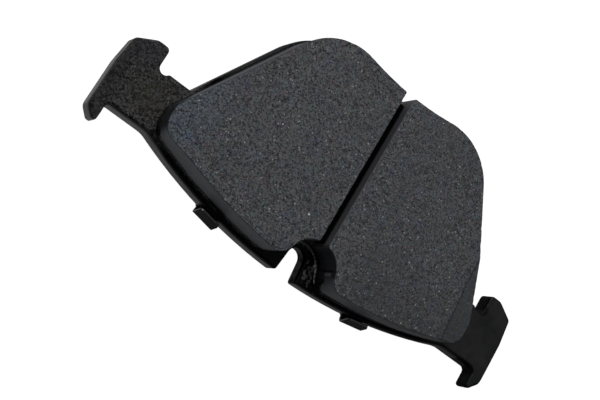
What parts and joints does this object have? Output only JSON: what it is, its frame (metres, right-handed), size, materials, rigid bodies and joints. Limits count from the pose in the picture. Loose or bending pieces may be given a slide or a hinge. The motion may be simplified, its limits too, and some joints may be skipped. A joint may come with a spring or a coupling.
{
  "type": "disc brake pad",
  "caption": "Disc brake pad: steel plate with hammerhead lugs, slotted friction lining with chamfered ends, laminated shim with bent tabs.",
  "frame": {"origin": "on the shim's back face, on the pad's centreline, between the lugs", "axes": "+Z out of the friction face towards the disc, +Y away from the wheel axis towards the notched edge, +X along the pad's length"},
  "size_m": [0.155, 0.069, 0.0195],
  "materials": {
    "plate": "black powder coat, satin",
    "bond": "cured resin, glossy",
    "underlayer": "moulded resin compound under black coat",
    "friction": "ground resin-bonded composite with metal specks",
    "adhesive": "clear acrylic film",
    "shim_rubber": "thin nitrile coat, satin",
    "shim_steel": "cold-rolled steel, bare cut edges"
  },
  "bodies": {
    "root": {"backing_plate": "plate", "bond_film": "bond", "underlayer": "underlayer", "friction_left": "friction", "friction_right": "friction", "shim_adhesive": "adhesive", "shim_inner_rubber": "shim_rubber", "shim_core": "shim_steel", "shim_outer_rubber": "shim_rubber"}
  },
  "joints": []
}
